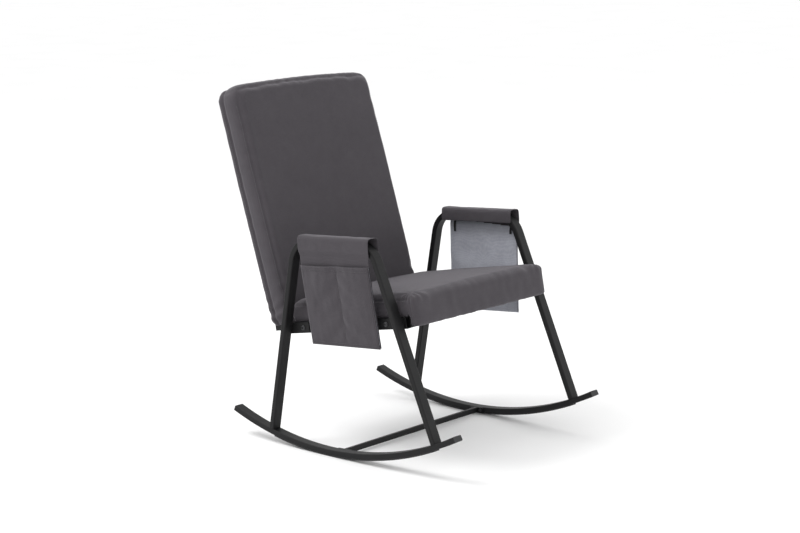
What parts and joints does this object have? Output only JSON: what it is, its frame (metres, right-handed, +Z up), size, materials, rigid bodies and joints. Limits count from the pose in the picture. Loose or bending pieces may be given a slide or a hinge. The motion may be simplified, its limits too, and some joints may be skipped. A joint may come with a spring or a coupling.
{
  "type": "rocking chair",
  "caption": "Rocking chair with bent steel side frames on curved rockers, padded seat and high back, arm sleeves and a hanging pocket on each side.",
  "frame": {"origin": "centre of the bounding box in plan, at floor level", "axes": "+Z up, +X to the sitter's left, -Y the way the sitter faces"},
  "size_m": [0.6432, 0.8643, 0.9471],
  "materials": {
    "frame_black": "satin black powder coat",
    "bolt_black": "black oxide, satin",
    "zinc_plate": "zinc plated",
    "cap_rubber": "matte",
    "glide_rubber": "matte",
    "grey_fabric": "warm dark grey woven upholstery",
    "lining": "matte non-woven",
    "foam": "open-cell foam, matte",
    "black_webbing": "woven elastic",
    "black_tape": "woven tape"
  },
  "bodies": {
    "chair": {"right_leg_loop": "frame_black", "left_leg_loop": "frame_black", "right_rocker": "frame_black", "left_rocker": "frame_black", "right_rocker_end_caps": "cap_rubber", "left_rocker_end_caps": "cap_rubber", "right_glide_strip": "glide_rubber", "left_glide_strip": "glide_rubber", "right_rail_brackets": "frame_black", "left_rail_brackets": "frame_black", "stretcher_bar": "frame_black", "stretcher_end_plates": "frame_black", "stretcher_screws": "bolt_black", "right_seat_rail": "frame_black", "left_seat_rail": "frame_black", "front_seat_rail": "frame_black", "rear_seat_rail": "frame_black", "rail_bolts": "bolt_black", "rail_washers": "zinc_plate", "rail_nuts": "zinc_plate", "right_back_post": "frame_black", "left_back_post": "frame_black", "right_back_plate": "frame_black", "left_back_plate": "frame_black", "top_back_rail": "frame_black", "middle_back_rail": "frame_black", "lower_back_rail": "frame_black", "back_plate_screws": "bolt_black", "back_plate_inserts": "zinc_plate", "seat_webbing": "black_webbing", "seat_underlining": "lining", "seat_foam": "foam", "seat_cover": "grey_fabric", "back_webbing": "black_webbing", "back_foam": "foam", "back_cover": "grey_fabric", "back_cover_closure": "grey_fabric", "right_arm_pad": "foam", "left_arm_pad": "foam", "right_arm_sleeve": "grey_fabric", "left_arm_sleeve": "grey_fabric"},
    "right_pocket": {"right_pocket_panel": "grey_fabric", "right_pocket_pouch": "grey_fabric", "right_pocket_tabs": "black_tape"},
    "left_pocket": {"left_pocket_panel": "grey_fabric", "left_pocket_pouch": "grey_fabric", "left_pocket_tabs": "black_tape"}
  },
  "joints": [
    {"name": "right_pocket_swing", "type": "hinge", "parent": "chair", "child": "right_pocket", "pos_m": [-0.313, -0.02676, 0.54508], "axis": [0, 0.9976, -0.0698], "range_deg": [-3, 75]},
    {"name": "left_pocket_swing", "type": "hinge", "parent": "chair", "child": "left_pocket", "pos_m": [0.313, -0.02676, 0.54508], "axis": [0, -0.9976, 0.0698], "range_deg": [-3, 75]}
  ]
}
